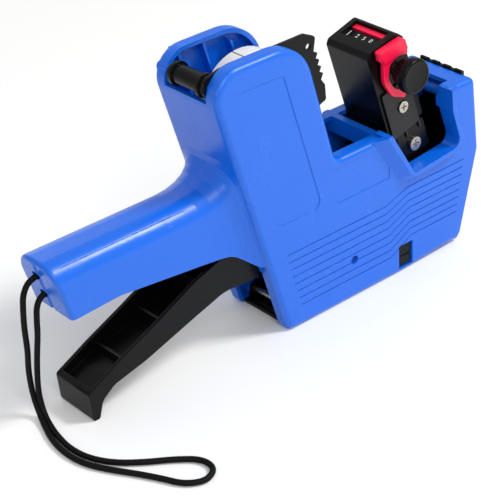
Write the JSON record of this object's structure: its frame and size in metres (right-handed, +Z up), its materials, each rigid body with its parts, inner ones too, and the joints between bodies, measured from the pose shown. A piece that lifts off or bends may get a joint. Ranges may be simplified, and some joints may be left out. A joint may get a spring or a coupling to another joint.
{
  "type": "price labeling gun",
  "caption": "Hand-held price labeling gun with a roll of labels, a squeeze lever, a swinging print head with a selector knob and a wrist strap.",
  "frame": {"origin": "on the flat underside of the base, on the middle plane, below the lever's pivot region", "axes": "+X forward to the nose, +Y to the left, +Z up"},
  "size_m": [0.2319, 0.0902, 0.127],
  "materials": {
    "blue_abs": "semi-gloss moulded",
    "black_plastic": "satin, fine moulded texture",
    "dark_grey_plastic": "satin",
    "red_plastic": "semi-gloss",
    "white_plastic": "satin",
    "steel": "bright zinc plated",
    "spring_steel": "drawn wire",
    "label_paper": "smooth coated paper",
    "core_board": "plain board",
    "band_rubber": "moulded rubber",
    "white_rubber": "soft roller rubber",
    "ink_foam": "ink-soaked foam",
    "strap_cord": "braided cord"
  },
  "bodies": {
    "body": {"right_body_shell": "blue_abs", "left_body_shell": "blue_abs", "front_cover": "black_plastic", "cover_hinge_pin": "steel", "pivot_pin": "steel", "holder_pin": "steel", "feed_shaft": "steel", "peel_bar": "steel", "platen": "steel", "applicator_pin": "steel", "ink_arm_pins": "steel", "body_screws": "steel", "return_spring": "spring_steel", "wrist_strap": "strap_cord"},
    "squeeze_lever": {"squeeze_lever": "black_plastic", "head_frame": "black_plastic", "head_housing": "black_plastic", "head_side_plate": "dark_grey_plastic", "head_lug": "black_plastic", "head_screws": "steel", "type_block": "black_plastic", "digit_bands": "band_rubber", "pointer_strip": "red_plastic", "digit_plate": "black_plastic", "feed_pawl": "steel"},
    "selector_slide": {"position_slider": "red_plastic"},
    "selector_knob": {"selector_knob": "black_plastic", "selector_shaft": "steel"},
    "label_holder": {"label_holder": "black_plastic"},
    "label_roll": {"roll_core": "core_board", "label_roll": "label_paper"},
    "bottom_cover": {"bottom_cover": "black_plastic"},
    "cover_latch": {"cover_latch": "black_plastic"},
    "feed_wheel": {"feed_wheel": "black_plastic"},
    "ink_holder": {"ink_holder": "black_plastic", "ink_roller_pin": "steel"},
    "ink_roller": {"ink_roller": "ink_foam"},
    "applicator_roller": {"applicator_roller": "white_rubber"}
  },
  "joints": [
    {"name": "lever_squeeze", "type": "hinge", "parent": "body", "child": "squeeze_lever", "pos_m": [0.0029, 0, 0.01855], "axis": [0, 1, 0], "range_deg": [0, 13.7], "stiffness_Nm_per_rad": 1, "springref_deg": -11.46, "deforming": ["return_spring"]},
    {"name": "selector_pull", "type": "slide", "parent": "squeeze_lever", "child": "selector_slide", "axis": [0, -1, 0], "range_m": [0, 0.004]},
    {"name": "selector_turn", "type": "hinge", "parent": "selector_slide", "child": "selector_knob", "pos_m": [0.03427, 0, 0.09446], "axis": [0, -1, 0], "continuous": true},
    {"name": "label_holder_open", "type": "hinge", "parent": "body", "child": "label_holder", "pos_m": [-0.0626, 0, 0.1196], "axis": [0, -1, 0], "range_deg": [0, 100]},
    {"name": "roll_spin", "type": "hinge", "parent": "label_holder", "child": "label_roll", "pos_m": [-0.0295, 0, 0.0965], "axis": [0, 1, 0], "continuous": true},
    {"name": "bottom_cover_open", "type": "hinge", "parent": "body", "child": "bottom_cover", "pos_m": [-0.027, 0, 0.0046], "axis": [0, 1, 0], "range_deg": [0, 60]},
    {"name": "latch_press", "type": "slide", "parent": "body", "child": "cover_latch", "axis": [0, 1, 0], "range_m": [0, 0.001], "stiffness_N_per_m": 200, "springref_m": -0.001},
    {"name": "feed_wheel_spin", "type": "hinge", "parent": "body", "child": "feed_wheel", "pos_m": [0.0258, 0, 0.0124], "axis": [0, 1, 0], "continuous": true},
    {"name": "ink_arm_swing", "type": "hinge", "parent": "body", "child": "ink_holder", "pos_m": [0.0629, 0, 0.0437], "axis": [0, -1, 0], "range_deg": [0, 4.4]},
    {"name": "ink_roller_spin", "type": "hinge", "parent": "ink_holder", "child": "ink_roller", "pos_m": [0.0608, 0, 0.0114], "axis": [0, 1, 0], "continuous": true},
    {"name": "applicator_spin", "type": "hinge", "parent": "body", "child": "applicator_roller", "pos_m": [0.0659, 0, 0.0044], "axis": [0, 1, 0], "continuous": true}
  ],
  "couplings": [
    {"joint": "ink_arm_swing", "follows": "lever_squeeze", "ratio": 0.31}
  ]
}
